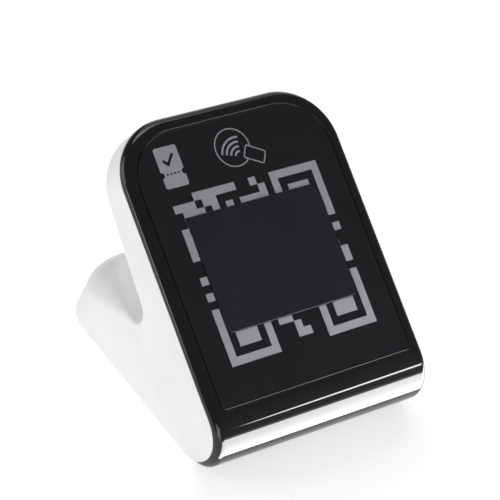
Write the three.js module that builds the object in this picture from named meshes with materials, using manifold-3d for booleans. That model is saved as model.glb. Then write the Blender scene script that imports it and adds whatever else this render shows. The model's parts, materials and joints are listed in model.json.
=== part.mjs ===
// Ticket validator: a tilted card and code reader on a flat foot, as an assembly of separate parts.
// Millimetres, +Z up, -Y towards the user. The origin is under the middle of the part, on the table.
// Two frames are used while building:
//   body frame (x, y, z): parallel to the part's frame, zero at the middle of the reader face
//   face frame (u, v, w): the body frame turned by TILT about X, so that w is the face's outward normal
import * as THREE from "three";
import { mergeVertices } from "three/addons/utils/BufferGeometryUtils.js";
import Module from "manifold-3d";

const wasm = await Module();
wasm.setup();

// ---------- driving dimensions ----------
const TILT = THREE.MathUtils.degToRad(35);
const HALF_WIDTH = 58.7;
const FACE_TOP = 77.2; // v of the top edge
const FACE_FLAT_END = -59.5; // v where the flat face turns into the nose
const TOP_CORNER = 30;
const NOSE_RADIUS = 18.4;
const SHELL = 3.7; // thickness of the front shell and radius of its front edge
const GAP = 0.3; // between pieces that meet
const LIP_END_Y = -0.5; // y where the shell's underside lip ends
const SLAB_REAR = -25.86; // w of the slab's rear face at v = 0
const SLAB_TAPER = 0.097; // the slab gets thinner by this much per mm of v
const WALL = 2.5;
const SIDE_WALL = 3;
const FOOT_TOP_HEIGHT = 35.2;
const FOOT_REAR_Y = 82.5;
const FOOT_CORNER = 26;
const FOOT_LEAN = Math.tan(THREE.MathUtils.degToRad(20));
const LEAN_START = 22; // y where the foot's sides begin to follow the leaning rear
const FOOT_EDGE = { slab: 0.5, rear: 15.2, from: 20, to: 64 }; // radius of the foot's top edge along y
const INNER_FILLET = 7; // between the slab's back and the foot's top
const PAD_HEIGHT = 1; // how far the rubber pads stand out
const GLASS = { halfWidth: 52.4, top: 70.6, bottom: -57.3, corner: 24, foot: 2.5, thickness: 1.5 };
const WINDOW = { width: 72, height: 55, v: 2, corner: 3 };
const TAPE = 0.5;
const LED_BAR = { width: 56, height: 5, v: -48 };
const BOARD = { halfWidth: 41.5, front: -16, rear: 62.8, height: 11, thickness: 1.6 };
const BASE = { thickness: 2.5, raise: 0.3, front: 0.6, rearSetback: 1.6 };
const POCKET = { halfWidth: 24, floor: 66, low: 10.5, high: 25 }; // connector recess, heights over the base
const OUTSIDE = 100; // a length that clears the part, for cutting tools
const SOCKET = { x: -7, width: 24, height: 11, depth: 12.5, cavity: 9, rim: 1.5, z: 18.5 };
const BUTTON = { x: 15, radius: 3, z: 17, proud: 1.2, crownStep: 0.4, flange: 1, flangeBack: 2.8 };
const PLUNGER = { x: -27, y: 27, radius: 1.5 };
const SPEAKER = { y: 31, radius: 14, height: 5 };
const PILLARS = [[-50.5, 10], [50.5, 10], [-46, 60], [46, 60]];
const BOARD_HOLES = [[-37, 6], [37, 6], [-37, 56], [37, 56]];
const PAD_SINK = 6.3; // radius of the recess round a rubber pad
const PADS = { front_left: [-42, -18], front_right: [42, -18], rear_left: [-34, 60], rear_right: [34, 60] };
const LIP_SCREWS = { left: -30, right: 30 };
const LIP_SCREW_Y = -4.5;

// ---------- derived places ----------
const COS = Math.cos(TILT);
const SIN = Math.sin(TILT);
const toBody = (v, w) => [v * COS - w * SIN, v * SIN + w * COS];
const NOSE = toBody(FACE_FLAT_END, -NOSE_RADIUS);
const BASE_Z = NOSE[1] - NOSE_RADIUS;
const NOSE_TURN = Math.PI - TILT;
const NOSE_END = FACE_FLAT_END - NOSE_RADIUS * NOSE_TURN;
const LIP_END = NOSE_END - (LIP_END_Y - NOSE[0]);
const slabRear = (v) => SLAB_REAR + SLAB_TAPER * v;
const FOOT_TOP = BASE_Z + FOOT_TOP_HEIGHT;
const BOARD_Z = BASE_Z + BOARD.height;
const BOARD_TOP = BOARD_Z + BOARD.thickness;
const BASE_LOW = BASE_Z + BASE.raise;
const BASE_TOP = BASE_LOW + BASE.thickness;
const SEAM = SHELL + GAP;
const REAR_EXTENT = FOOT_REAR_Y;
const FRONT_EXTENT = NOSE[0] - NOSE_RADIUS;
const FACE_TURN = new THREE.Matrix4().makeRotationX(TILT);

// ---------- materials ----------
const look = (color, roughness, metalness = 0) => ({ color, roughness, metalness });
const GLOSS_BLACK = look(0x17181a, 0.08);
const WINDOW_TINT = look(0x24262a, 0.05);
const WHITE_SHELL = look(0xeeefee, 0.45);
const DARK_PLASTIC = look(0x2a2b2d, 0.6);
const RUBBER = look(0x1b1b1c, 0.9);
const TAPE_BLACK = look(0x202022, 0.8);
const BOARD_GREEN = look(0x1f5a3a, 0.5);
const FERRITE = look(0x4b4a4c, 0.7);
const STEEL = look(0xb9bcc0, 0.35, 1);
const BRASS = look(0xc8a24a, 0.35, 1);
const SHIELD_TIN = look(0xc9cacb, 0.3, 1);
const CLEAR = look(0xdfe8ee, 0.1);
const LED_WHITE = look(0xf4f1dc, 0.4);
const AMBER_FILM = look(0xb8762a, 0.5);

// ---------- solids ----------
function solid(geometry) {
  const bare = (geometry.index ? geometry : mergeVertices(geometry)).clone();
  bare.deleteAttribute("normal");
  bare.deleteAttribute("uv");
  const merged = mergeVertices(bare, 1e-4);
  const vertProperties = new Float32Array(merged.attributes.position.array);
  const triVerts = new Uint32Array(merged.index.array);
  return new wasm.Manifold(new wasm.Mesh({ numProp: 3, vertProperties, triVerts }));
}

function geometryOf(body) {
  const mesh = body.getMesh();
  const position = new THREE.BufferAttribute(new Float32Array(mesh.vertProperties), 3);
  const index = new THREE.BufferAttribute(new Uint32Array(mesh.triVerts), 1);
  return new THREE.BufferGeometry().setAttribute("position", position).setIndex(index);
}

const join = (...bodies) => bodies.reduce((all, body) => all.add(body));
const cut = (body, ...tools) => tools.reduce((rest, tool) => rest.subtract(tool), body);

// An outline pushed along +Z from z0 to z1.
function prismGeometry(outline, z0, z1, curveSegments = 6) {
  const options = { depth: z1 - z0, bevelEnabled: false, curveSegments };
  return new THREE.ExtrudeGeometry(outline, options).translate(0, 0, z0);
}
const prism = (outline, z0, z1, curveSegments) => solid(prismGeometry(outline, z0, z1, curveSegments));
const facePrism = (outline, w0, w1, curveSegments) =>
  solid(prismGeometry(outline, w0, w1, curveSegments).applyMatrix4(FACE_TURN));

// A side view in (y, z), pushed along X from x0 to x1.
function sideGeometry(points, x0, x1) {
  const axes = new THREE.Matrix4().makeBasis(
    new THREE.Vector3(0, 1, 0),
    new THREE.Vector3(0, 0, 1),
    new THREE.Vector3(1, 0, 0),
  );
  return prismGeometry(polygon(points), x0, x1).applyMatrix4(axes);
}
const sideSolid = (points, x0, x1) => solid(sideGeometry(points, x0, x1));

const polygon = (points) => new THREE.Shape(points.map(([a, b]) => new THREE.Vector2(a, b)));

function boxGeometry([x0, x1], [y0, y1], [z0, z1]) {
  const middle = [(x0 + x1) / 2, (y0 + y1) / 2, (z0 + z1) / 2];
  return new THREE.BoxGeometry(x1 - x0, y1 - y0, z1 - z0).translate(...middle);
}
const box = (xs, ys, zs) => solid(boxGeometry(xs, ys, zs));

// A round bar along Z.
function rodGeometry(x, y, radius, z0, z1, sides = 20) {
  const bar = new THREE.CylinderGeometry(radius, radius, z1 - z0, sides);
  return bar.rotateX(Math.PI / 2).translate(x, y, (z0 + z1) / 2);
}
const rod = (...sizes) => solid(rodGeometry(...sizes));

// A round bar along Y.
function crossRod(x, z, radius, y0, y1, sides = 20) {
  const bar = new THREE.CylinderGeometry(radius, radius, y1 - y0, sides);
  return solid(bar.translate(x, (y0 + y1) / 2, z));
}

// A turned part: [radius, z] points from the axis round to the axis.
function turned(points, sides = 20) {
  const profile = points.map(([radius, z]) => new THREE.Vector2(radius, z));
  return solid(new THREE.LatheGeometry(profile, sides).rotateX(Math.PI / 2));
}

function arcPoints(centre, radius, from, to, steps) {
  return Array.from({ length: steps + 1 }, (_, i) => {
    const angle = from + ((to - from) * i) / steps;
    return [centre[0] + radius * Math.cos(angle), centre[1] + radius * Math.sin(angle)];
  });
}

// A rectangle with one radius for its upper corners and one for its lower corners.
function roundedOutline(halfWidth, top, bottom, upper, lower, steps = 8) {
  const right = Math.PI / 2;
  const lowSteps = Math.max(2, Math.round(steps / 2));
  return polygon([
    ...arcPoints([halfWidth - upper, top - upper], upper, 0, right, steps),
    ...arcPoints([upper - halfWidth, top - upper], upper, right, 2 * right, steps),
    ...arcPoints([lower - halfWidth, bottom + lower], lower, 2 * right, 3 * right, lowSteps),
    ...arcPoints([halfWidth - lower, bottom + lower], lower, 3 * right, 4 * right, lowSteps),
  ]);
}
const glassOutline = (inset) =>
  roundedOutline(
    GLASS.halfWidth - inset,
    GLASS.top - inset,
    GLASS.bottom + inset,
    GLASS.corner - inset,
    Math.max(GLASS.foot - inset, 0.4),
  );
const windowOutline = (grow, corner = WINDOW.corner + grow) =>
  roundedOutline(
    WINDOW.width / 2 + grow,
    WINDOW.v + WINDOW.height / 2 + grow,
    WINDOW.v - WINDOW.height / 2 - grow,
    corner,
    corner,
    4,
  );
const rectangle = (halfWidth, top, bottom) =>
  polygon([[halfWidth, top], [-halfWidth, top], [-halfWidth, bottom], [halfWidth, bottom]]);

// ---------- skins made of rings ----------
// Each ring is one closed loop of points, mirrored left to right: the right half runs from the middle
// of the top edge down to the middle of the bottom edge, and the left half runs back up.
function ringSolid(rings, closed = false) {
  const half = rings[0].length - 1;
  const around = 2 * half;
  const positions = [];
  for (const ring of rings) {
    ring.forEach((p) => positions.push(...p));
    for (let j = half - 1; j > 0; j -= 1) positions.push(-ring[j][0], ring[j][1], ring[j][2]);
  }
  const index = [];
  const quad = (a, b, c, d) => index.push(a, b, c, a, c, d);
  const last = closed ? rings.length : rings.length - 1;
  for (let k = 0; k < last; k += 1) {
    const here = k * around;
    const next = ((k + 1) % rings.length) * around;
    for (let j = 0; j < around; j += 1) {
      const after = (j + 1) % around;
      quad(here + j, here + after, next + after, next + j);
    }
  }
  const cap = (start, facing) => {
    const right = (j) => start + j;
    const left = (j) => start + ((around - j) % around);
    for (let j = 0; j < half; j += 1) {
      const corners = [right(j), left(j), left(j + 1), right(j + 1)];
      const flat = corners.filter((corner, i) => corners.indexOf(corner) === i);
      if (!facing) flat.reverse();
      index.push(flat[0], flat[1], flat[2]);
      if (flat.length === 4) index.push(flat[0], flat[2], flat[3]);
    }
  };
  if (!closed) {
    cap(0, true);
    cap((rings.length - 1) * around, false);
  }
  const position = new THREE.Float32BufferAttribute(positions, 3);
  return new THREE.BufferGeometry().setAttribute("position", position).setIndex(index);
}

// A point of the face skin: u across, s along the face from top to lip, depth below the surface.
function facePoint(u, s, depth) {
  if (s >= FACE_FLAT_END) return [u, s, -depth];
  const turn = Math.min((FACE_FLAT_END - s) / NOSE_RADIUS, NOSE_TURN);
  const reach = NOSE_RADIUS - depth;
  const run = Math.max(NOSE_END - s, 0);
  const v = FACE_FLAT_END - reach * Math.sin(turn) + run * COS;
  const w = -NOSE_RADIUS + reach * Math.cos(turn) - run * SIN;
  return [u, v, w];
}

const LIP_CORNER = 5;
const NOSE_STEPS = 12;
function faceRing(inset, depth) {
  const quarter = Math.PI / 2;
  const edge = HALF_WIDTH - inset;
  const topCentre = [HALF_WIDTH - TOP_CORNER, FACE_TOP - TOP_CORNER];
  const lipCentre = [HALF_WIDTH - LIP_CORNER, LIP_END + LIP_CORNER];
  const nose = Array.from({ length: NOSE_STEPS + 1 }, (_, i) => [
    edge,
    FACE_FLAT_END + ((NOSE_END - FACE_FLAT_END) * i) / NOSE_STEPS,
  ]);
  const outline = [
    [0, FACE_TOP - inset],
    ...arcPoints(topCentre, TOP_CORNER - inset, quarter, 0, 10),
    ...nose,
    ...arcPoints(lipCentre, LIP_CORNER - inset, 0, -quarter, 3),
    [0, LIP_END + inset],
  ];
  return outline.map(([u, s]) => facePoint(u, s, depth));
}

// A skin that follows the face, from [inset, depth] pairs.
const faceSkin = (profile, closed = false) =>
  ringSolid(profile.map(([inset, depth]) => faceRing(inset, depth)), closed);

// Radius of the foot's top edge: small beside the slab, fuller towards the rear.
function topRadius(y) {
  const share = THREE.MathUtils.smoothstep(y, FOOT_EDGE.from, FOOT_EDGE.to);
  return FOOT_EDGE.slab + (FOOT_EDGE.rear - FOOT_EDGE.slab) * share;
}

// The foot's plan at one height, as the right half of a ring. The rear leans in towards the top.
const FOOT_SIDE_STATIONS = [20, 26, 32, 39, 47];
function footRing(angle, shrink, front) {
  const quarter = Math.PI / 2;
  const corner = FOOT_CORNER - shrink;
  const edge = HALF_WIDTH - shrink;
  const rise = FOOT_TOP - shrink - BASE_Z;
  const heightAt = (y) => {
    if (angle === null) return shrink ? -12 : 0;
    return rise - topRadius(y) * (1 - Math.sin(angle));
  };
  const outline = [
    [0, front],
    [edge, front],
    ...FOOT_SIDE_STATIONS.map((y) => [edge, y]),
    ...arcPoints([edge - corner, FOOT_REAR_Y - shrink - corner], corner, 0, quarter, 7),
    [0, FOOT_REAR_Y - shrink],
  ];
  const rearStart = FOOT_REAR_Y - shrink - corner;
  return outline.map(([x, y]) => {
    const inset = angle === null ? 0 : topRadius(y) * (1 - Math.cos(angle));
    const height = heightAt(y);
    const across = x === 0 ? 0 : Math.max(0, x - edge + corner) / corner;
    const along = Math.max(0, y - rearStart) / corner;
    const reach = Math.hypot(across, along) || 1;
    const leanShare = THREE.MathUtils.clamp((y - LEAN_START) / (FOOT_REAR_Y - shrink - LEAN_START), 0, 1);
    const lean = height * FOOT_LEAN * leanShare;
    return [x - (inset * across) / reach, y - (inset * along) / reach - lean, BASE_Z + height];
  });
}
const FOOT_ANGLES = [null, 0, 0.4, 0.8, 1.2, Math.PI / 2];
const footSolid = (shrink, front) =>
  solid(ringSolid(FOOT_ANGLES.map((angle) => footRing(angle, shrink, front))));

// ---------- the seam between shell and housing, seen from the side ----------
// It follows the nose at a constant depth, then sweeps down to the base, where the side walls pass the lip.
const SWEEP_START = THREE.MathUtils.degToRad(110);
const SEAM_RADIUS = NOSE_RADIUS - SEAM;
const SWEEP_RADIUS = (NOSE_RADIUS + SEAM_RADIUS * Math.cos(SWEEP_START)) / (1 + Math.cos(SWEEP_START));
const SWEEP_CENTRE = [
  NOSE[0] - (SEAM_RADIUS - SWEEP_RADIUS) * Math.sin(SWEEP_START),
  NOSE[1] + (SEAM_RADIUS - SWEEP_RADIUS) * Math.cos(SWEEP_START),
];
const QUARTER = Math.PI / 2;
const sweepArc = (grow) =>
  arcPoints(SWEEP_CENTRE, SWEEP_RADIUS + grow, QUARTER + SWEEP_START, 3 * QUARTER, 8);

// ---------- front assembly, built in the face frame ----------
const EDGE_ANGLES = [90, 60, 30, 0].map(THREE.MathUtils.degToRad);
function frontShell() {
  const edge = EDGE_ANGLES.map((a) => [SHELL * (1 - Math.cos(a)), SHELL * (1 - Math.sin(a))]);
  const plate = solid(faceSkin(edge));
  const band = [[5.7, 3], [4.3, 3], [4.3, 6.8], [5.7, 6.8]];
  const tongue = cut(solid(faceSkin(band, true)), lipClearance());
  const recess = prism(glassOutline(-GAP), -(GLASS.thickness + TAPE), 5);
  const opening = prism(windowOutline(2), -10, 5);
  const ledSlot = prism(rectangle(LED_BAR.width / 2, LED_BAR.v + 2.5, LED_BAR.v - 2.5), -10, 5);
  return cut(join(plate, tongue), recess, opening, ledSlot, ...lipTools(), ...sideWallRoom());
}

// Tools made in the body frame and turned into the face frame.
const BACK_TO_FACE = new THREE.Matrix4().makeRotationX(-TILT);
function lipClearance() {
  const across = [-HALF_WIDTH - 1, HALF_WIDTH + 1];
  const room = boxGeometry(across, [LIP_END_Y - 10, 10], [BASE_Z + SEAM - 0.4, BASE_Z + 14]);
  return solid(room.applyMatrix4(BACK_TO_FACE));
}

// Room beside the lip for the housing's side walls.
function sideWallRoom() {
  const profile = [NOSE, ...sweepArc(GAP), [10, BASE_Z - GAP], [10, NOSE[1]]];
  const inner = HALF_WIDTH - SIDE_WALL - GAP;
  return [[inner, HALF_WIDTH + 1], [-HALF_WIDTH - 1, -inner]].map(([x0, x1]) =>
    solid(sideGeometry(profile, x0, x1).applyMatrix4(BACK_TO_FACE)),
  );
}

// Pad recesses and screw holes in the lip under the nose.
function lipTools() {
  const upright = (...sizes) => solid(rodGeometry(...sizes).applyMatrix4(BACK_TO_FACE));
  const padSinks = ["front_left", "front_right"].map((k) =>
    upright(...PADS[k], PAD_SINK, BASE_Z - 1, BASE_Z + PAD_HEIGHT - 0.1, 28),
  );
  const screws = Object.values(LIP_SCREWS).flatMap((x) => [
    upright(x, LIP_SCREW_Y, 2.8, BASE_Z - 1, BASE_Z + 2.1),
    upright(x, LIP_SCREW_Y, 1.5, BASE_Z - 1, BASE_Z + 6, 16),
  ]);
  return [...padSinks, ...screws];
}

const frontGlass = () =>
  cut(
    prism(glassOutline(0), -GLASS.thickness, 0),
    prism(windowOutline(GAP), -10, 5),
  );
const scanWindow = () => prism(windowOutline(0), -GLASS.thickness, 0.25);
const glassTape = () =>
  cut(
    prism(glassOutline(0.8), -(GLASS.thickness + TAPE) + 0.1, -GLASS.thickness - 0.1),
    prism(windowOutline(3), -10, 5),
    prism(rectangle(LED_BAR.width / 2 + 1, LED_BAR.v + 4, LED_BAR.v - 4), -10, 5),
  );

// The loop antenna's board and the ferrite sheet behind it, both frames round the scan opening.
const ANTENNA = { halfWidth: 50, top: 68, bottom: -42, corner: 21 };
function antennaFrame(inset, w0, w1) {
  const { halfWidth, top, bottom, corner } = ANTENNA;
  const outline = roundedOutline(halfWidth - inset, top - inset, bottom + inset, corner, 3);
  const opening = roundedOutline(WINDOW.width / 2 + 4, WINDOW.v + 32, WINDOW.v - 35, 3, 3, 4);
  return cut(prism(outline, w0, w1), prism(opening, -20, 5));
}

// ---------- scanner ----------
// The scan engine leans back under the window, and the tunnel is a funnel from one to the other.
const ENGINE_LEAN = THREE.MathUtils.degToRad(28);
const ENGINE = { y: -22, z: -43.5, lean: ENGINE_LEAN, halfWidth: 11, halfDepth: 8, halfHeight: 6 };
function enginePoint(depth, height) {
  const y = ENGINE.y + depth * Math.cos(ENGINE.lean) + height * Math.sin(ENGINE.lean);
  const z = ENGINE.z - depth * Math.sin(ENGINE.lean) + height * Math.cos(ENGINE.lean);
  return [y, z];
}

function funnel(grow, topW, clearance) {
  const side = WINDOW.width / 2 + 1 + grow;
  const high = WINDOW.v + WINDOW.height / 2 + 1 + grow;
  const low = WINDOW.v - WINDOW.height / 2 - 1 - grow;
  const half = ENGINE.halfWidth + grow;
  const deep = ENGINE.halfDepth + grow;
  const height = ENGINE.halfHeight + clearance;
  const upper = (u, v) => [u, ...toBody(v, topW)];
  const lower = (x, depth) => [x, ...enginePoint(depth, height)];
  const points = [
    upper(-side, low), upper(side, low), upper(side, high), upper(-side, high),
    lower(-half, -deep), lower(half, -deep), lower(half, deep), lower(-half, deep),
  ];
  const faces = [[0, 1, 2, 3], [7, 6, 5, 4], [4, 5, 1, 0], [5, 6, 2, 1], [6, 7, 3, 2], [7, 4, 0, 3]];
  const index = faces.flatMap(([a, b, c, d]) => [a, b, c, a, c, d]);
  const position = new THREE.Float32BufferAttribute(points.flat(), 3);
  return solid(new THREE.BufferGeometry().setAttribute("position", position).setIndex(index));
}
const scanTunnel = () => cut(funnel(1.2, -SEAM, 0.7), funnel(0, -SEAM + 0.5, 0.2));

const LENS_X = -4;
function scanEngine() {
  const { halfWidth, halfDepth, halfHeight } = ENGINE;
  return cut(
    box([-halfWidth, halfWidth], [-halfDepth, halfDepth], [-halfHeight, halfHeight]),
    rod(LENS_X, 0, 4.3, halfHeight - 6, halfHeight + 1, 24),
    rod(6, 3.5, 1.8, halfHeight - 3, halfHeight + 1, 16),
    rod(6, -3.5, 1.8, halfHeight - 3, halfHeight + 1, 16),
  );
}
const lensBarrel = () =>
  cut(
    rod(LENS_X, 0, 4, ENGINE.halfHeight - 5.7, ENGINE.halfHeight + 0.3, 24),
    rod(LENS_X, 0, 2.8, ENGINE.halfHeight - 2.4, ENGINE.halfHeight + 1, 24),
  );
const lensGlass = () => turned([[0, 0], [2.5, 0], [2.5, 0.7], [1.7, 1.2], [0.9, 1.5], [0, 1.6]]);

function engineBracket() {
  const low = BOARD_TOP + GAP;
  const strip = box([-17, 17], [-15, -7], [low, low + 1]);
  const ear = [[-15, low], [-7, low], [-13.5, -43.5], [-25, -37.5], [-29, -43], [-26, -48]];
  const inner = ENGINE.halfWidth + GAP;
  const ears = [sideSolid(ear, inner, inner + 1), sideSolid(ear, -inner - 1, -inner)];
  const holes = [-14.8, 14.8].map((x) => rod(x, -11, 1.2, BOARD_TOP, BOARD_TOP + 3, 12));
  return cut(join(strip, ...ears), ...holes);
}

// ---------- rear housing ----------
// The slab's side view, with the fillet that runs from its back into the foot's top.
function slabSide() {
  const nose = arcPoints(NOSE, SEAM_RADIUS, QUARTER + TILT, QUARTER + SWEEP_START, 6);
  const slope = Math.atan2(SIN + SLAB_TAPER * COS, COS - SLAB_TAPER * SIN);
  const [startY, startZ] = toBody(0, slabRear(0));
  const cornerY = startY - (startZ - FOOT_TOP) / Math.tan(slope);
  const filletEnd = cornerY + INNER_FILLET / Math.tan(slope / 2);
  const centre = [filletEnd, FOOT_TOP + INNER_FILLET];
  return [
    toBody(FACE_TOP, -SEAM),
    ...nose.slice(0, -1),
    ...sweepArc(0),
    [filletEnd, BASE_Z],
    ...arcPoints(centre, INNER_FILLET, -QUARTER, slope - 3 * QUARTER, 7),
    toBody(FACE_TOP, slabRear(FACE_TOP)),
  ];
}

// The room inside the slab, open towards the nose and the base.
function slabRoomSide() {
  const top = FACE_TOP - SIDE_WALL;
  const rear = (v) => toBody(v, slabRear(v) + WALL);
  const low = BASE_Z - 14;
  return [toBody(top, 8), toBody(-95, 8), [-85, low], [8, low], [8, -45], rear(-28.5), rear(top)];
}

// The outer body of slab and foot, and the room inside it.
function housingOuter() {
  const slab = sideSolid(slabSide(), -HALF_WIDTH - 1, HALF_WIDTH + 1);
  return join(slab.intersect(facePrism(housingTop(0), -150, 20)), footSolid(0, 0));
}
function housingRoom() {
  const halfWidth = HALF_WIDTH - SIDE_WALL;
  const slab = sideSolid(slabRoomSide(), -halfWidth, halfWidth);
  return join(slab.intersect(facePrism(housingTop(SIDE_WALL), -150, 20)), footSolid(SIDE_WALL, -20));
}
const housingTop = (inset) =>
  roundedOutline(HALF_WIDTH - inset, FACE_TOP - inset, -200, TOP_CORNER - inset, 1);

const PILLAR_RADIUS = 3.6;
function rearHousing() {
  const outer = housingOuter();
  const reach = HALF_WIDTH - SIDE_WALL + 1;
  const crossRib = box([-reach, reach], [LIP_END_Y - 8, 0], [BASE_Z + SEAM, BASE_Z + SEAM + 5]);
  const [low, high] = [BASE_Z + POCKET.low, BASE_Z + POCKET.high];
  const pocket = box([-POCKET.halfWidth, POCKET.halfWidth], [POCKET.floor, OUTSIDE], [low, high]);
  const wallFront = POCKET.floor - WALL;
  const tubSide = POCKET.halfWidth + WALL;
  const tubBlock = box([-tubSide, tubSide], [wallFront, OUTSIDE], [low - WALL, high + WALL]);
  const tub = tubBlock.intersect(footSolid(0, 0));
  const pillars = PILLARS.map(([x, y]) => rod(x, y, PILLAR_RADIUS, BASE_TOP + 0.1, -20).intersect(outer));
  const socketSide = SOCKET.width / 2 + GAP;
  const socketHigh = SOCKET.height / 2 + GAP;
  const socketHole = box(
    [SOCKET.x - socketSide, SOCKET.x + socketSide],
    [wallFront - 1, POCKET.floor + 1],
    [BASE_Z + SOCKET.z - socketHigh, BASE_Z + SOCKET.z + socketHigh],
  );
  const buttonHole = buttonRod(BUTTON.radius + GAP, wallFront - 1, POCKET.floor + 1);
  const insertHoles = PILLARS.map(([x, y]) => rod(x, y, 2.3, BASE_TOP - 1, BASE_TOP + 8));
  const lipHoles = Object.values(LIP_SCREWS).map((x) => rod(x, LIP_SCREW_Y, 1.3, BASE_Z, BASE_Z + 10, 12));
  const body = join(cut(outer, housingRoom()), crossRib, tub, ...pillars);
  return cut(body, pocket, socketHole, buttonHole, ...insertHoles, ...lipHoles);
}

// Seal round the shell's tongue, inside the housing's wall.
const SEAL_BAND = [[4.1, 4.1], [3.2, 4.1], [3.2, 5.8], [4.1, 5.8]];
const housingSeal = () => cut(solid(faceSkin(SEAL_BAND, true)), lipClearance());

// ---------- base plate ----------
function baseOutline() {
  const edge = HALF_WIDTH - SIDE_WALL - GAP;
  const rear = FOOT_REAR_Y - SIDE_WALL - GAP - BASE.rearSetback;
  return roundedOutline(edge, rear, BASE.front, FOOT_CORNER - SIDE_WALL, 1);
}
function basePlate() {
  const plate = prism(baseOutline(), BASE_LOW, BASE_TOP);
  const posts = BOARD_HOLES.map(([x, y]) => rod(x, y, 3, BASE_TOP - 1, BOARD_Z - 0.05));
  const postHoles = BOARD_HOLES.map(([x, y]) => rod(x, y, 1.1, BASE_TOP, BOARD_Z + 1, 12));
  const screwHoles = PILLARS.map(([x, y]) => rod(x, y, 1.8, BASE_Z - 1, BASE_TOP + 1, 16));
  const headSinks = PILLARS.map(([x, y]) => rod(x, y, 3.2, BASE_Z - 1, BASE_LOW + 1.6));
  const padSinks = ["rear_left", "rear_right"].map((k) =>
    rod(...PADS[k], PAD_SINK, BASE_Z - 1, BASE_LOW + 0.9, 28),
  );
  const slots = [-9, -6, -3, 0, 3, 6, 9].map((x) => {
    const half = Math.sqrt(11 ** 2 - x ** 2);
    return box([x - 0.7, x + 0.7], [SPEAKER.y - half, SPEAKER.y + half], [BASE_Z - 1, BASE_TOP + 1]);
  });
  const plungerHole = rod(PLUNGER.x, PLUNGER.y, PLUNGER.radius + GAP, BASE_Z - 1, BASE_TOP + 1);
  const holes = [...postHoles, ...screwHoles, ...headSinks, ...padSinks, ...slots, plungerHole];
  return cut(join(plate, ...posts), ...holes);
}

// ---------- small hardware ----------
function screw(head, headHeight, shank, length) {
  const blank = turned([
    [0, 0], [head - 0.4, 0], [head, 0.4], [head, headHeight], [shank, headHeight],
    [shank, headHeight + length - 0.6], [shank - 0.5, headHeight + length], [0, headHeight + length],
  ], 12);
  return cut(blank, solid(rodGeometry(0, 0, head * 0.45, -1, headHeight * 0.55, 6)));
}
const pad = () => turned([[0, 0], [5.3, 0], [6, 0.5], [6, 1.8], [0, 1.8]], 24);
const insert = () => turned([[1.6, 0], [2.2, 0], [2.2, 5], [1.6, 5], [1.6, 0]], 12);

function coilSpring({ radius, wire, turns, z0, z1 }) {
  class Helix extends THREE.Curve {
    getPoint(t, target = new THREE.Vector3()) {
      const angle = 2 * Math.PI * turns * t;
      return target.set(radius * Math.cos(angle), radius * Math.sin(angle), z0 + (z1 - z0) * t);
    }
  }
  const section = polygon(arcPoints([0, 0], wire, 0, (2 * Math.PI * 5) / 6, 5));
  const options = { extrudePath: new Helix(), steps: turns * 10, bevelEnabled: false };
  return solid(new THREE.ExtrudeGeometry(section, options));
}

// A flat ribbon: a side view given as a centre line, thickened and pushed along X.
function ribbon(line, thickness, x0, x1) {
  const offset = (side) =>
    line.map(([y, z], i) => {
      const [ya, za] = line[Math.max(i - 1, 0)];
      const [yb, zb] = line[Math.min(i + 1, line.length - 1)];
      const run = Math.hypot(yb - ya, zb - za);
      return [y - (side * thickness * (zb - za)) / run / 2, z + (side * thickness * (yb - ya)) / run / 2];
    });
  return sideSolid([...offset(1), ...offset(-1).reverse()], x0, x1);
}

// ---------- main board ----------
function mainBoard() {
  const { halfWidth, front, rear } = BOARD;
  const plate = box([-halfWidth, halfWidth], [front, rear], [BOARD_Z, BOARD_TOP]);
  const holes = BOARD_HOLES.map(([x, y]) => rod(x, y, 1.3, BOARD_Z - 1, BOARD_TOP + 1, 12));
  return cut(plate, ...holes);
}

// A pressed can, open below.
function shieldCan([x0, x1], [y0, y1], height) {
  const z0 = BOARD_TOP + GAP;
  const skin = 0.5;
  return cut(
    box([x0, x1], [y0, y1], [z0, z0 + height]),
    box([x0 + skin, x1 - skin], [y0 + skin, y1 - skin], [z0 - 1, z0 + height - skin]),
  );
}

function samSocket() {
  const [x0, x1] = [-37, -19];
  const z0 = BOARD_TOP + GAP;
  return cut(
    box([x0, x1], [-14, 2], [z0, z0 + 2.8]),
    box([x0 + 1.2, x1 - 1.2], [-20, 1], [z0 + 0.7, z0 + 1.7]),
    box([x0 + 4, x1 - 4], [-10, -2], [z0 + 1.5, z0 + 5]),
  );
}

const CELL = { x: 26, y: 0 };
function cellHolder() {
  const z0 = BOARD_TOP + GAP;
  const tray = rod(CELL.x, CELL.y, 9.2, z0, z0 + 3.4, 24);
  const seat = rod(CELL.x, CELL.y, 8.2, z0 + 0.8, z0 + 6, 24);
  const notch = box([CELL.x - 3, CELL.x + 3], [-12, -6], [z0 + 0.8, z0 + 6]);
  return cut(tray, seat, notch);
}

// The antenna's ribbon, from behind the face down to its connector.
const FLEX_LINE = [
  toBody(-35, -6.8),
  toBody(-40, -7.6),
  [-25, -38],
  [-20, -46],
  [-15.5, BOARD_TOP + 3.4],
  [-12.5, BOARD_TOP + 2],
];

// ---------- sounder ----------
function speakerFrame() {
  const { radius, height } = SPEAKER;
  const outside = [[radius - 1, 0], [radius, 0], [radius, 1.6], [9, 3.4], [9, height], [0, height]];
  const inside = [[0, 3.2], [6, 3.2], [radius - 1, 1.2], [radius - 1, 0]];
  return turned([...outside, ...inside], 28);
}
const speakerCone = () =>
  turned([[0, 2.2], [4, 2.0], [8, 1.2], [12.6, 0.4], [12.6, 0.7], [8, 1.6], [4, 2.5], [0, 2.7]], 28);

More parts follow.
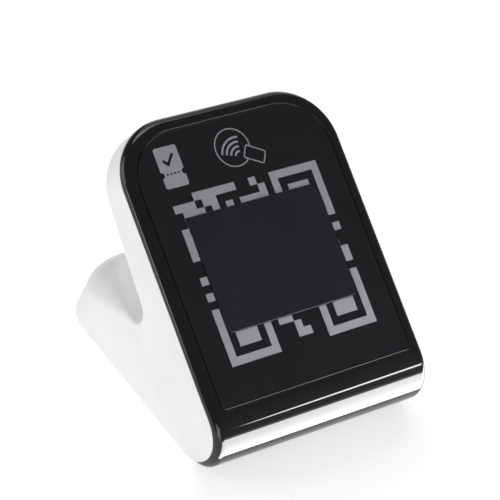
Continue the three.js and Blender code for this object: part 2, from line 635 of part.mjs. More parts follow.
// ---------- connector ----------
const SOCKET_REAR = POCKET.floor - GAP;
const CAVITY_FLOOR = SOCKET_REAR - SOCKET.cavity;
function ioSocket() {
  const { x, width, height, depth, rim } = SOCKET;
  const z = BASE_Z + SOCKET.z;
  const halfWidth = width / 2;
  const halfHeight = height / 2;
  const shroud = box(
    [x - halfWidth, x + halfWidth],
    [SOCKET_REAR - depth, SOCKET_REAR],
    [z - halfHeight, z + halfHeight],
  );
  const cavity = box(
    [x - halfWidth + rim, x + halfWidth - rim],
    [CAVITY_FLOOR, OUTSIDE],
    [z - halfHeight + rim, z + halfHeight - rim],
  );
  const keyway = box([x - 2, x + 2], [SOCKET_REAR - 6, OUTSIDE], [z, z + halfHeight - 0.6]);
  return cut(shroud, cavity, keyway);
}
function ioContacts() {
  const z = BASE_Z + SOCKET.z;
  const across = [SOCKET.x - 10, SOCKET.x + 10];
  const carrier = box(across, [CAVITY_FLOOR + GAP, CAVITY_FLOOR + 1.3], [z - 3.5, z + 3.5]);
  const half = 0.4;
  const pins = [-7.5, -2.5, 2.5, 7.5].flatMap((dx) => {
    const x = SOCKET.x + dx;
    return [z - 1.8, z + 1.8].map((row) =>
      box([x - half, x + half], [CAVITY_FLOOR + 1, CAVITY_FLOOR + 4.6], [row - half, row + half]),
    );
  });
  return join(carrier, ...pins);
}

// ---------- service button ----------
const buttonRod = (radius, y0, y1, sides) => crossRod(BUTTON.x, BASE_Z + BUTTON.z, radius, y0, y1, sides);
function serviceButton() {
  const end = POCKET.floor + BUTTON.proud;
  const flangeEnd = POCKET.floor - BUTTON.flangeBack;
  const cap = buttonRod(BUTTON.radius, flangeEnd - BUTTON.flange, end - BUTTON.crownStep, 24);
  const crown = buttonRod(BUTTON.radius - BUTTON.crownStep, POCKET.floor, end, 24);
  const flange = buttonRod(BUTTON.radius + 1, flangeEnd - BUTTON.flange, flangeEnd, 24);
  return join(cap, crown, flange);
}
const STEM_END = POCKET.floor - BUTTON.flangeBack - BUTTON.flange - GAP;
const switchStem = () => buttonRod(1.2, STEM_END - 3.2, STEM_END, 16);
function buttonSwitch() {
  const face = STEM_END - 2;
  const heights = [BOARD_TOP + GAP, BASE_Z + BUTTON.z + 3];
  const body = box([BUTTON.x - 3, BUTTON.x + 3], [face - 4.9, face], heights);
  return cut(body, buttonRod(1.5, face - 2.6, face + 1, 16));
}

// ---------- tamper switch ----------
function tamperSwitch() {
  const low = BASE_Z + 7.4;
  const half = 4;
  const across = [PLUNGER.x - half, PLUNGER.x + half];
  const body = box(across, [PLUNGER.y - half, PLUNGER.y + half], [low, BOARD_Z - 0.1]);
  return cut(body, rod(PLUNGER.x, PLUNGER.y, 1.3, low - 1, BASE_Z + 10, 16));
}
function tamperPlunger() {
  const pin = [[0, -0.4], [1.1, -0.4], [1.5, 0], [1.5, 2.9]];
  const collarAndRod = [[3, 2.9], [3, 4.1], [1, 4.1], [1, 8.4], [0, 8.4]];
  return turned([...pin, ...collarAndRod], 20);
}

// ---------- the assembly ----------
const validator = new THREE.Group();
validator.position.set(0, -(REAR_EXTENT + FRONT_EXTENT) / 2, PAD_HEIGHT - BASE_Z);
const faceGroup = new THREE.Group();
faceGroup.rotation.x = TILT;
validator.add(faceGroup);

function put(name, body, finish, parent = validator, place = [0, 0, 0]) {
  const mesh = new THREE.Mesh(geometryOf(body), new THREE.MeshStandardMaterial(finish));
  mesh.name = name;
  mesh.position.set(...place);
  parent.add(mesh);
  return mesh;
}

// Front assembly.
put("front_shell", frontShell(), GLOSS_BLACK, faceGroup);
put("front_glass", frontGlass(), GLOSS_BLACK, faceGroup);
put("scan_window", scanWindow(), WINDOW_TINT, faceGroup);
put("glass_tape", glassTape(), TAPE_BLACK, faceGroup);
put("antenna_board", antennaFrame(0, -5.4, -4.2), BOARD_GREEN, faceGroup);
put("ferrite_sheet", antennaFrame(1, -6.2, -5.7), FERRITE, faceGroup);

const barHalf = LED_BAR.width / 2 - GAP;
put(
  "light_guide",
  box([-barHalf, barHalf], [LED_BAR.v - 2.2, LED_BAR.v + 2.2], [-6, -2]),
  CLEAR,
  faceGroup,
);
put("led_board", box([-30, 30], [LED_BAR.v - 5, LED_BAR.v + 5], [-9.2, -8.2]), BOARD_GREEN, faceGroup);
[-21, -7, 7, 21].forEach((u, i) => {
  const chip = box([u - 2, u + 2], [LED_BAR.v - 1.6, LED_BAR.v + 1.6], [-7.9, -6.4]);
  put(`status_led_${i + 1}`, chip, LED_WHITE, faceGroup);
});

// Scanner.
put("scan_tunnel", scanTunnel(), DARK_PLASTIC);
put("engine_bracket", engineBracket(), STEEL);
const engineGroup = new THREE.Group();
engineGroup.position.set(0, ENGINE.y, ENGINE.z);
engineGroup.rotation.x = -ENGINE.lean;
validator.add(engineGroup);
put("scan_engine", scanEngine(), DARK_PLASTIC, engineGroup);
put("lens_barrel", lensBarrel(), DARK_PLASTIC, engineGroup);
put("lens", lensGlass(), CLEAR, engineGroup, [LENS_X, 0, ENGINE.halfHeight - 2.2]);

// Housing, seal and base.
put("rear_housing", rearHousing(), WHITE_SHELL);
put("housing_seal", housingSeal(), RUBBER, faceGroup);
put("base_plate", basePlate(), DARK_PLASTIC);
for (const [place, [x, y]] of Object.entries(PADS)) {
  put(`rubber_pad_${place}`, pad(), RUBBER, validator, [x, y, BASE_Z - PAD_HEIGHT]);
}
PILLARS.forEach(([x, y], i) => {
  put(`base_screw_${i + 1}`, screw(2.75, 1.5, 1.45, 7), STEEL, validator, [x, y, BASE_Z + 0.35]);
  put(`thread_insert_${i + 1}`, insert(), BRASS, validator, [x, y, BASE_TOP + 0.5]);
});
for (const [side, x] of Object.entries(LIP_SCREWS)) {
  put(`lip_screw_${side}`, screw(2.4, 1.4, 1.15, 5), STEEL, validator, [x, LIP_SCREW_Y, BASE_Z + 0.4]);
}

// Main board and what it carries.
put("main_board", mainBoard(), BOARD_GREEN);
BOARD_HOLES.forEach(([x, y], i) => {
  const place = [x, y, BOARD_TOP + 1.4];
  put(`board_screw_${i + 1}`, screw(2.2, 1.3, 0.95, 5), STEEL, validator, place).rotation.x = Math.PI;
});
put("processor_shield", shieldCan([-33, 5], [7, 37], 4), SHIELD_TIN);
put("modem_shield", shieldCan([9, 35], [14, 40], 3.5), SHIELD_TIN);
put("sam_card_socket", samSocket(), STEEL);
put("cell_holder", cellHolder(), DARK_PLASTIC);
put("coin_cell", turned([[0, 0], [7, 0], [7, 0.4], [8, 0.6], [8, 3.2], [0, 3.2]], 24), STEEL, validator, [
  CELL.x,
  CELL.y,
  BOARD_TOP + 1.4,
]);
put("flex_connector", box([30.8, 39.2], [-15, -10.6], [BOARD_TOP + 0.1, BOARD_TOP + 1.6]), DARK_PLASTIC);
put("antenna_flex", ribbon(FLEX_LINE, 0.4, 32, 38), AMBER_FILM);

// Sounder.
put("speaker_frame", speakerFrame(), DARK_PLASTIC, validator, [0, SPEAKER.y, BASE_TOP + GAP]);
put("speaker_cone", speakerCone(), RUBBER, validator, [0, SPEAKER.y, BASE_TOP + GAP]);

// Connector in the rear recess.
put("io_socket", ioSocket(), DARK_PLASTIC);
put("io_contacts", ioContacts(), BRASS);

// Service button: cap and stem slide together into the switch.
put("service_button", serviceButton(), DARK_PLASTIC);
put("switch_stem", switchStem(), STEEL);
put("button_switch", buttonSwitch(), DARK_PLASTIC);

// Tamper switch: its plunger is pushed up by the surface that the validator is fixed to.
put("tamper_switch", tamperSwitch(), DARK_PLASTIC);
put("tamper_plunger", tamperPlunger(), STEEL, validator, [PLUNGER.x, PLUNGER.y, BASE_Z]);
const tamperSpring = coilSpring({ radius: 2.1, wire: 0.3, turns: 3, z0: 4.5, z1: 7 });
put("tamper_spring", tamperSpring, STEEL, validator, [PLUNGER.x, PLUNGER.y, BASE_Z]);

export default validator;
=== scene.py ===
"""Ticket validator: the looks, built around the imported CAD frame.

Blender works in metres; sizes below are in millimetres and are scaled by MM where they enter a mesh.
Body frame (x, y, z): parallel to the row's frame, zero at the middle of the reader face.
Face frame (u, v, w): the body frame turned by TILT about X, so that w is the face's outward normal.
"""

import json
import math

import bmesh
import bpy
import numpy as np
from mathutils import Matrix, Vector
from mathutils.geometry import tessellate_polygon


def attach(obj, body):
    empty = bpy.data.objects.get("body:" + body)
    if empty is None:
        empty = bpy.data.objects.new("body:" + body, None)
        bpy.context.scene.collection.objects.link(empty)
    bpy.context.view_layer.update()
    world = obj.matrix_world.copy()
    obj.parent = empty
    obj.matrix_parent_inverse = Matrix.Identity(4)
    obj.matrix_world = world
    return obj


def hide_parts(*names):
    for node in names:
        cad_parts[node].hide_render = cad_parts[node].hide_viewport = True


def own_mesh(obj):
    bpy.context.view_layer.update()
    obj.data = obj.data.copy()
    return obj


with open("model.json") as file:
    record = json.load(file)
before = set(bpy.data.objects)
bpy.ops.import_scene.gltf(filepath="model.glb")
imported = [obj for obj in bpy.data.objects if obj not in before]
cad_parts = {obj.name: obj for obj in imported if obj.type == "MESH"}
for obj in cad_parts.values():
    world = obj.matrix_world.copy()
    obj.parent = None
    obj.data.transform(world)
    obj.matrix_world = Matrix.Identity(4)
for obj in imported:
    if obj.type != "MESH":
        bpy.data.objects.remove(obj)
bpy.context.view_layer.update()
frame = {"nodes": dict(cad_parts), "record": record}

# ---------- driving dimensions ----------
# They are the CAD model's, except for the outline's last millimetre (HALF_WIDTH, FACE_TOP, TOP_CORNER)
# and the rounding along the foot's top edge (SLAB_EDGE, FOOT_EDGE_FROM, FOOT_EDGE_TO).
MM = 0.001
TILT = math.radians(35)
COS, SIN = math.cos(TILT), math.sin(TILT)
HALF_WIDTH = 58.9
FACE_TOP = 77.7
FACE_FLAT_END = -59.5
TOP_CORNER = 29.0
NOSE_RADIUS = 18.4
SHELL = 3.7
GAP = 0.3
SEAM = SHELL + GAP
LIP_END_Y = -0.5
LIP_CORNER = 5.0
SLAB_REAR = -25.86
SLAB_TAPER = 0.097
WALL = 2.5
SIDE_WALL = 3.0
FOOT_HEIGHT = 35.2
FOOT_REAR_Y = 82.5
FOOT_CORNER = 26.0
FOOT_LEAN = math.tan(math.radians(20))
LEAN_START = 22.0
SLAB_EDGE = 1.2
FOOT_EDGE_GROWTH = 14.0
FOOT_EDGE_FROM, FOOT_EDGE_TO = 14.0, 64.5
INNER_FILLET = 7.0
PAD_HEIGHT = 1.0
GLASS_HALF_WIDTH, GLASS_TOP, GLASS_BOTTOM = 52.4, 70.6, -57.3
GLASS_CORNER, GLASS_FOOT = 24.0, 2.5
GLASS_THICKNESS = 1.5
RECESS_DEPTH = 2.0
WINDOW_WIDTH, WINDOW_HEIGHT, WINDOW_V, WINDOW_CORNER = 72.0, 55.0, 2.0, 3.0
WINDOW_PROUD = 0.25


def to_body(v, w):
    """(y, z) of a point given in the face frame."""
    return v * COS - w * SIN, v * SIN + w * COS


NOSE_Y, NOSE_Z = to_body(FACE_FLAT_END, -NOSE_RADIUS)
BASE_Z = NOSE_Z - NOSE_RADIUS
NOSE_TURN = math.pi - TILT
NOSE_END = FACE_FLAT_END - NOSE_RADIUS * NOSE_TURN
LIP_END = NOSE_END - (LIP_END_Y - NOSE_Y)
FOOT_TOP = BASE_Z + FOOT_HEIGHT
FRONT_EXTENT = NOSE_Y - NOSE_RADIUS
ORIGIN = Vector((0, -(FOOT_REAR_Y + FRONT_EXTENT) / 2, PAD_HEIGHT - BASE_Z)) * MM


def body_point(x, y, z):
    return Vector((x, y, z)) * MM + ORIGIN


def body_points(points):
    return np.asarray(points, float) * MM + np.array(ORIGIN)


# ---------- camera ----------
CAMERA_AZIMUTH, CAMERA_ELEVATION, CAMERA_ROLL = (math.radians(a) for a in (-41.171, 38.179, 12.255))
CAMERA_AIM = body_point(-12.09, 4.53, 6.65)
CAMERA_DISTANCE = 0.985
LENS = 157.69


def make_camera():
    data = bpy.data.cameras.new("camera")
    data.lens = LENS
    data.sensor_width = 36
    camera = bpy.data.objects.new("camera", data)
    bpy.context.scene.collection.objects.link(camera)
    a, e, roll = CAMERA_AZIMUTH, CAMERA_ELEVATION, CAMERA_ROLL
    back = Vector((math.sin(a) * math.cos(e), -math.cos(a) * math.cos(e), math.sin(e)))
    level_right = Vector((0, 0, 1)).cross(back).normalized()
    level_up = back.cross(level_right)
    right = level_right * math.cos(roll) + level_up * math.sin(roll)
    up = level_up * math.cos(roll) - level_right * math.sin(roll)
    camera.matrix_world = Matrix.Translation(CAMERA_AIM + back * CAMERA_DISTANCE) @ Matrix(
        (right, up, back)
    ).transposed().to_4x4()
    data.clip_start, data.clip_end = 0.01, 50
    bpy.context.scene.camera = camera


make_camera()


# ---------- node helpers ----------
GRAIN_DEPTH = 0.02  # mm, height of the fine relief in the materials
METAL_GRAIN = 900  # noise cells per metre across a metal's streaks


def new_material(name):
    material = bpy.data.materials.new(name)
    material.use_nodes = True
    tree = material.node_tree
    return material, tree.nodes, tree.links, tree.nodes["Principled BSDF"]


def place_coords(nodes, links, scale):
    """Object coordinates times scale. Pieces have their place in their mesh, so these are metres."""
    coords = nodes.new("ShaderNodeTexCoord")
    mapping = nodes.new("ShaderNodeMapping")
    mapping.inputs["Scale"].default_value = (scale, scale, scale)
    links.new(coords.outputs["Object"], mapping.inputs["Vector"])
    return mapping.outputs["Vector"]


def noise(nodes, links, scale, detail=3.0, roughness=0.5):
    texture = nodes.new("ShaderNodeTexNoise")
    texture.inputs["Scale"].default_value = 1.0
    texture.inputs["Detail"].default_value = detail
    texture.inputs["Roughness"].default_value = roughness
    links.new(place_coords(nodes, links, scale), texture.inputs["Vector"])
    return texture.outputs["Fac"]


def ramp(nodes, links, source, stops):
    """A colour ramp from source; stops are (position, colour or grey)."""
    node = nodes.new("ShaderNodeValToRGB")
    elements = node.color_ramp.elements
    for i, (position, value) in enumerate(stops):
        element = elements[i] if i < 2 else elements.new(position)
        element.position = position
        colour = value if isinstance(value, tuple) else (value, value, value)
        element.color = (*colour, 1)
    links.new(source, node.inputs["Fac"])
    return node.outputs["Color"]


def add_bump(nodes, links, height, strength, distance_mm):
    bump = nodes.new("ShaderNodeBump")
    bump.inputs["Strength"].default_value = strength
    bump.inputs["Distance"].default_value = distance_mm * MM
    links.new(height, bump.inputs["Height"])
    return bump.outputs["Normal"]


def plastic(name, dark, light, rough, rough_spread, grain_scale, grain, coat=0.0, ior=1.5, patch_scale=60):
    """Moulded plastic: a slight tone drift, a fine surface grain, and roughness that varies with wear."""
    material, nodes, links, bsdf = new_material(name)
    patches = noise(nodes, links, patch_scale, 4)
    links.new(ramp(nodes, links, patches, [(0.3, dark), (0.7, light)]), bsdf.inputs["Base Color"])
    wear = noise(nodes, links, patch_scale * 3.7, 6, 0.65)
    spread = ramp(nodes, links, wear, [(0.25, rough - rough_spread), (0.8, rough + rough_spread)])
    links.new(spread, bsdf.inputs["Roughness"])
    if grain:
        texture = noise(nodes, links, grain_scale, 2)
        links.new(add_bump(nodes, links, texture, grain, GRAIN_DEPTH), bsdf.inputs["Normal"])
    bsdf.inputs["IOR"].default_value = ior
    bsdf.inputs["Coat Weight"].default_value = coat
    bsdf.inputs["Coat Roughness"].default_value = 0.03
    return material


def metal(name, dark, light, rough, streak=(1, 1, 12)):
    material, nodes, links, bsdf = new_material(name)
    bsdf.inputs["Metallic"].default_value = 1.0
    texture = nodes.new("ShaderNodeTexNoise")
    texture.inputs["Scale"].default_value = 1.0
    texture.inputs["Detail"].default_value = 5
    coords = nodes.new("ShaderNodeTexCoord")
    mapping = nodes.new("ShaderNodeMapping")
    mapping.inputs["Scale"].default_value = tuple(METAL_GRAIN * s for s in streak)
    links.new(coords.outputs["Object"], mapping.inputs["Vector"])
    links.new(mapping.outputs["Vector"], texture.inputs["Vector"])
    grain = texture.outputs["Fac"]
    tone = ramp(nodes, links, grain, [(0.3, dark), (0.7, light)])
    spread = ramp(nodes, links, grain, [(0.2, rough - 0.08), (0.8, rough + 0.1)])
    links.new(tone, bsdf.inputs["Base Color"])
    links.new(spread, bsdf.inputs["Roughness"])
    links.new(add_bump(nodes, links, grain, 0.15, GRAIN_DEPTH), bsdf.inputs["Normal"])
    return material


WHITE = plastic("white_satin", (0.80, 0.80, 0.795), (0.84, 0.84, 0.835), 0.42, 0.06, 5200, 0.10)
GLOSS = plastic("piano_black", (0.0045, 0.0046, 0.005), (0.006, 0.006, 0.0068), 0.05, 0.02, 900, 0.0)
GLASS = plastic("printed_glass", (0.006, 0.0062, 0.007), (0.0085, 0.0088, 0.0098), 0.035, 0.012, 900, 0.0)
PANE = plastic("scan_window_tint", (0.0095, 0.0105, 0.0125), (0.013, 0.0142, 0.017), 0.06, 0.015, 900, 0.0)
PRINT = plastic("grey_print", (0.31, 0.31, 0.32), (0.34, 0.34, 0.35), 0.25, 0.05, 3000, 0.05,
                patch_scale=250)
DARK = plastic("dark_plastic", (0.020, 0.020, 0.021), (0.028, 0.028, 0.029), 0.55, 0.08, 2600, 0.35)
RUBBER = plastic("black_rubber", (0.012, 0.012, 0.012), (0.020, 0.020, 0.020), 0.85, 0.08, 1500, 0.5)
BOARD = plastic("solder_resist", (0.010, 0.060, 0.024), (0.014, 0.085, 0.034), 0.35, 0.06, 1800, 0.3)
FERRITE = plastic("ferrite", (0.045, 0.043, 0.046), (0.06, 0.058, 0.062), 0.7, 0.08, 2500, 0.4)
FILM = plastic("amber_film", (0.32, 0.13, 0.02), (0.42, 0.18, 0.03), 0.3, 0.05, 1800, 0.1)
CLEAR = plastic("clear_plastic", (0.55, 0.58, 0.60), (0.62, 0.65, 0.67), 0.12, 0.04, 1200, 0.1)
LED = plastic("led_package", (0.70, 0.66, 0.45), (0.80, 0.76, 0.52), 0.3, 0.05, 1500, 0.1)
STEEL = metal("zinc_steel", (0.42, 0.43, 0.45), (0.62, 0.63, 0.65), 0.34)
TIN = metal("tin_plate", (0.50, 0.50, 0.51), (0.66, 0.66, 0.67), 0.3)
BRASS = metal("brass", (0.55, 0.38, 0.14), (0.72, 0.52, 0.22), 0.32)


# ---------- mesh helpers ----------
SHARP_ANGLE = math.radians(32)


def mesh_object(name, points_m, faces, material, sharp=SHARP_ANGLE):
    mesh = bpy.data.meshes.new(name)
    mesh.from_pydata([tuple(p) for p in points_m], [], [tuple(f) for f in faces])
    bm = bmesh.new()
    bm.from_mesh(mesh)
    bmesh.ops.remove_doubles(bm, verts=bm.verts, dist=2e-7)
    bmesh.ops.dissolve_degenerate(bm, edges=bm.edges, dist=1e-7)
    bmesh.ops.recalc_face_normals(bm, faces=bm.faces)
    bm.to_mesh(mesh)
    bm.free()
    piece = bpy.data.objects.new(name, mesh)
    bpy.context.scene.collection.objects.link(piece)
    mesh.materials.append(material)
    shade(piece, sharp)
    return piece


def shade(piece, sharp=SHARP_ANGLE):
    mesh = piece.data
    mesh.polygons.foreach_set("use_smooth", [True] * len(mesh.polygons))
    mesh.set_sharp_from_angle(angle=sharp)


def arc(cx, cy, radius, start, end, steps):
    """Points of an arc, start and end in degrees."""
    angles = np.radians(np.linspace(start, end, steps + 1))
    return [(cx + radius * math.cos(a), cy + radius * math.sin(a)) for a in angles]


def rounded(half_width, top, bottom, upper, lower, steps=24):
    """A rectangle's outline with its own radius above and below, counter-clockwise from the right."""
    return [
        *arc(half_width - upper, top - upper, upper, 0, 90, steps),
        *arc(upper - half_width, top - upper, upper, 90, 180, steps),
        *arc(lower - half_width, bottom + lower, lower, 180, 270, steps // 2),
        *arc(half_width - lower, bottom + lower, lower, 270, 360, steps // 2),
    ]


def loops_to_faces(count, loops, closed=False):
    """Quads between consecutive loops of count points each."""
    faces = []
    last = loops if closed else loops - 1
    for k in range(last):
        here, there = k * count, ((k + 1) % loops) * count
        for j in range(count):
            after = (j + 1) % count
            faces.append((here + j, here + after, there + after, there + j))
    return faces


def face_point(u, s, depth):
    """Body-frame point of the face skin: u across, s along it from top to lip, depth below the surface."""
    if s >= FACE_FLAT_END:
        return (u, *to_body(s, -depth))
    turn = min((FACE_FLAT_END - s) / NOSE_RADIUS, NOSE_TURN)
    reach = NOSE_RADIUS - depth
    run = max(NOSE_END - s, 0.0)
    v = FACE_FLAT_END - reach * math.sin(turn) + run * COS
    w = -NOSE_RADIUS + reach * math.cos(turn) - run * SIN
    return (u, *to_body(v, w))


def edge_profile(radius, steps):
    """(inset, depth) pairs round a quarter-round edge, from the face outwards."""
    turn = np.linspace(math.pi / 2, 0, steps + 1)
    return [(radius * (1 - math.cos(a)), radius * (1 - math.sin(a))) for a in turn]


# ---------- solids and boolean cuts ----------
OUTSIDE = 100.0  # a length that clears the part, for cutting tools


def solid(name, points, faces):
    """A closed mesh in the body frame, used as material or as a cutting tool."""
    return mesh_object(name, body_points(points), faces, WHITE)


def push(outline, place, low, high):
    """A closed prism: outline points (a, b) are put at place(a, b, c) for c = low and high."""
    count = len(outline)
    points = [place(a, b, low) for a, b in outline] + [place(a, b, high) for a, b in outline]
    sides = [(j, (j + 1) % count, count + (j + 1) % count, count + j) for j in range(count)]
    return solid("tool", points, [*sides, tuple(range(count)), tuple(range(count, 2 * count))])


def side_prism(outline, low, high):
    """A side view in (y, z), pushed along X."""
    return push(outline, lambda y, z, x: (x, y, z), low, high)


def box(x0, x1, y0, y1, z0, z1):
    return push([(x0, y0), (x1, y0), (x1, y1), (x0, y1)], lambda x, y, z: (x, y, z), z0, z1)


def rod(x, y, radius, z0, z1, steps=48):
    return push(arc(x, y, radius, 0, 360, steps)[:-1], lambda a, b, z: (a, b, z), z0, z1)


def cross_rod(x, z, radius, y0, y1, steps=48):
    return push(arc(x, z, radius, 0, 360, steps)[:-1], lambda a, b, y: (a, y, b), y0, y1)


def combine(target, operation, tools):
    """Applies one boolean per tool to target's mesh and removes the tools."""
    for tool in tools:
        modifier = target.modifiers.new("combine", "BOOLEAN")
        modifier.operation = operation
        modifier.solver = "MANIFOLD"
        modifier.object = tool
    depsgraph = bpy.context.evaluated_depsgraph_get()
    mesh = bpy.data.meshes.new_from_object(target.evaluated_get(depsgraph))
    target.modifiers.clear()
    target.data = mesh
    for tool in tools:
        bpy.data.objects.remove(tool, do_unlink=True)
    return target


def finish_piece(piece, replaced, body="validator", weighted=False):
    shade(piece)
    if weighted:
        modifier = piece.modifiers.new("weighted", "WEIGHTED_NORMAL")
        modifier.keep_sharp = True
    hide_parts(*replaced)
    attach(piece, body)
    return piece


# ---------- seam between shell and housing, seen from the side ----------
SWEEP_START = math.radians(110)
SEAM_RADIUS = NOSE_RADIUS - SEAM
SWEEP_RADIUS = (NOSE_RADIUS + SEAM_RADIUS * math.cos(SWEEP_START)) / (1 + math.cos(SWEEP_START))
SWEEP_Y = NOSE_Y - (SEAM_RADIUS - SWEEP_RADIUS) * math.sin(SWEEP_START)
SWEEP_Z = NOSE_Z + (SEAM_RADIUS - SWEEP_RADIUS) * math.cos(SWEEP_START)


def sweep_arc(grow):
    return arc(SWEEP_Y, SWEEP_Z, SWEEP_RADIUS + grow, 90 + math.degrees(SWEEP_START), 270, 24)


# ---------- front shell, glass and window ----------
RIM = 0.35  # rounding of the recess's rim
GLASS_EDGE = 0.4  # rounding of the glass's outer edge
WINDOW_EDGE = 0.2  # rounding of the window and of the glass round it
WINDOW_LEDGE = 2.0  # how far the shell's opening is wider than the window
PAD_DEPTH = 0.9
SCREW_HEAD = {"radius": 2.8, "depth": 2.1}  # recess for a lip screw's head
SCREW_SHANK = 1.5  # radius of a lip screw's clearance hole
LED_SLOT = (56.0, 5.0, -48.0)  # width, height and v of the slot for the status light
PADS = {"front_left": (-42, -18), "front_right": (42, -18), "rear_left": (-34, 60), "rear_right": (34, 60)}
LIP_SCREWS = {"left": -30.0, "right": 30.0}
LIP_SCREW_Y = -4.5
PAD_SINK = 6.3


def shell_outline(inset):
    """Half outline in (u, s), from the top edge down the right side to the end of the lip."""
    edge = HALF_WIDTH - inset
    return [
        *arc(HALF_WIDTH - TOP_CORNER, FACE_TOP - TOP_CORNER, TOP_CORNER - inset, 90, 0, 40),
        *[(edge, s) for s in np.linspace(FACE_FLAT_END, NOSE_END, 61)],
        *arc(HALF_WIDTH - LIP_CORNER, LIP_END + LIP_CORNER, LIP_CORNER - inset, 0, -90, 8),
    ]


def mirrored(half):
    return half + [(-u, s) for u, s in reversed(half)]


def shell_loop(inset, depth):
    return [face_point(u, s, depth) for u, s in mirrored(shell_outline(inset))]


def face_plate(depth, inset, hole):
    """The skin at one depth: a flat zone with a hole, and rows across the nose and lip."""
    outline = shell_outline(inset)
    flat = mirrored([(u, s) for u, s in outline if s >= FACE_FLAT_END])
    loops = [[Vector((u, s, 0)) for u, s in loop] for loop in (flat, hole)]
    faces = [tuple(face) for face in tessellate_polygon(loops)]
    points = [face_point(u, s, depth) for u, s in [*flat, *hole]]
    first = len(points)
    rows = [(u, s) for u, s in outline if s <= FACE_FLAT_END]
    for u, s in rows:
        points += [face_point(u, s, depth), face_point(-u, s, depth)]
    for i in range(len(rows) - 1):
        a = first + 2 * i
        faces.append((a, a + 1, a + 3, a + 2))
    return points, faces


def glass_loop(grow):
    high, low = GLASS_TOP + grow, GLASS_BOTTOM - grow
    return rounded(GLASS_HALF_WIDTH + grow, high, low, GLASS_CORNER + grow, GLASS_FOOT + grow, 40)


def window_loop(grow, steps=40):
    corner = WINDOW_CORNER + grow
    high, low = WINDOW_V + WINDOW_HEIGHT / 2 + grow, WINDOW_V - WINDOW_HEIGHT / 2 - grow
    return rounded(WINDOW_WIDTH / 2 + grow, high, low, corner, corner, steps)


def skin_piece(name, profile, material, sharp=SHARP_ANGLE):
    """A closed ring of loops; profile is a list of (loop in (u, s), depth)."""
    points = [face_point(u, s, depth) for loop, depth in profile for u, s in loop]
    faces = loops_to_faces(len(profile[0][0]), len(profile), closed=True)
    return mesh_object(name, body_points(points), faces, material, sharp)


def shell_cuts():
    """Tools for the status light's slot, the pads, the screws and the room beside the lip."""
    width, height, v = LED_SLOT
    left, right, low, high = -width / 2, width / 2, v - height / 2, v + height / 2
    slot = [(left, low), (right, low), (right, high), (left, high)]
    tools = [push(slot, lambda a, b, w: (a, *to_body(b, w)), -10, 5)]
    for name in ("front_left", "front_right"):
        tools.append(rod(*PADS[name], PAD_SINK, BASE_Z - 1, BASE_Z + PAD_DEPTH, 64))
    for x in LIP_SCREWS.values():
        tools.append(rod(x, LIP_SCREW_Y, SCREW_HEAD["radius"], BASE_Z - 1, BASE_Z + SCREW_HEAD["depth"]))
        tools.append(rod(x, LIP_SCREW_Y, SCREW_SHANK, BASE_Z - 2, BASE_Z + 6))
    beside = [(NOSE_Y, NOSE_Z), *sweep_arc(GAP), (10, BASE_Z - GAP), (10, NOSE_Z)]
    inner = HALF_WIDTH - SIDE_WALL - GAP
    tools.append(side_prism(beside, inner, HALF_WIDTH + 1))
    tools.append(side_prism(beside, -HALF_WIDTH - 1, -inner))
    return tools


def make_shell():
    loops = [shell_loop(inset, depth) for inset, depth in edge_profile(SHELL, 14)]
    loops += [shell_loop(SHELL, SHELL)]
    parts = [([p for loop in loops for p in loop], loops_to_faces(len(loops[0]), len(loops)))]
    parts.append(face_plate(0.0, SHELL, glass_loop(GAP + RIM)))
    turn = np.linspace(0, math.pi / 2, 6)
    well = [(glass_loop(GAP + RIM * (1 - math.sin(a))), RIM * (1 - math.cos(a))) for a in turn]
    opening = window_loop(WINDOW_LEDGE)
    well += [(glass_loop(GAP), RECESS_DEPTH), (opening, RECESS_DEPTH), (opening, SHELL)]
    points = [face_point(u, s, depth) for loop, depth in well for u, s in loop]
    parts.append((points, loops_to_faces(len(well[0][0]), len(well))))
    parts.append(face_plate(SHELL, SHELL, opening))
    all_points, all_faces = [], []
    for points, faces in parts:
        shift = len(all_points)
        all_points += points
        all_faces += [tuple(i + shift for i in face) for face in faces]
    shell = mesh_object("front_shell_skin", body_points(all_points), all_faces, GLOSS)
    combine(shell, "DIFFERENCE", shell_cuts())
    finish_piece(shell, ["front_shell"], weighted=True)


def make_glass():
    outer = [(glass_loop(-inset), depth) for inset, depth in edge_profile(GLASS_EDGE, 6)]
    inner = [(window_loop(GAP + inset), depth) for inset, depth in reversed(edge_profile(WINDOW_EDGE, 4))]
    profile = [*inner, *outer, (glass_loop(0), GLASS_THICKNESS), (window_loop(GAP), GLASS_THICKNESS)]
    glass = skin_piece("front_glass_panel", profile, GLASS)
    finish_piece(glass, ["front_glass"], weighted=True)


def make_window():
    profile = edge_profile(WINDOW_EDGE, 4)
    edge = [(window_loop(-inset, 12), depth - WINDOW_PROUD) for inset, depth in profile]
    loops = [*edge, (window_loop(0, 12), GLASS_THICKNESS)]
    points = [face_point(u, s, depth) for loop, depth in loops for u, s in loop]
    count = len(loops[0][0])
    faces = loops_to_faces(count, len(loops))
    faces.append(tuple(range(count)))
    faces.append(tuple(range(len(points) - count, len(points))))
    window = mesh_object("scan_window_pane", body_points(points), faces, PANE)
    finish_piece(window, ["scan_window"], weighted=True)


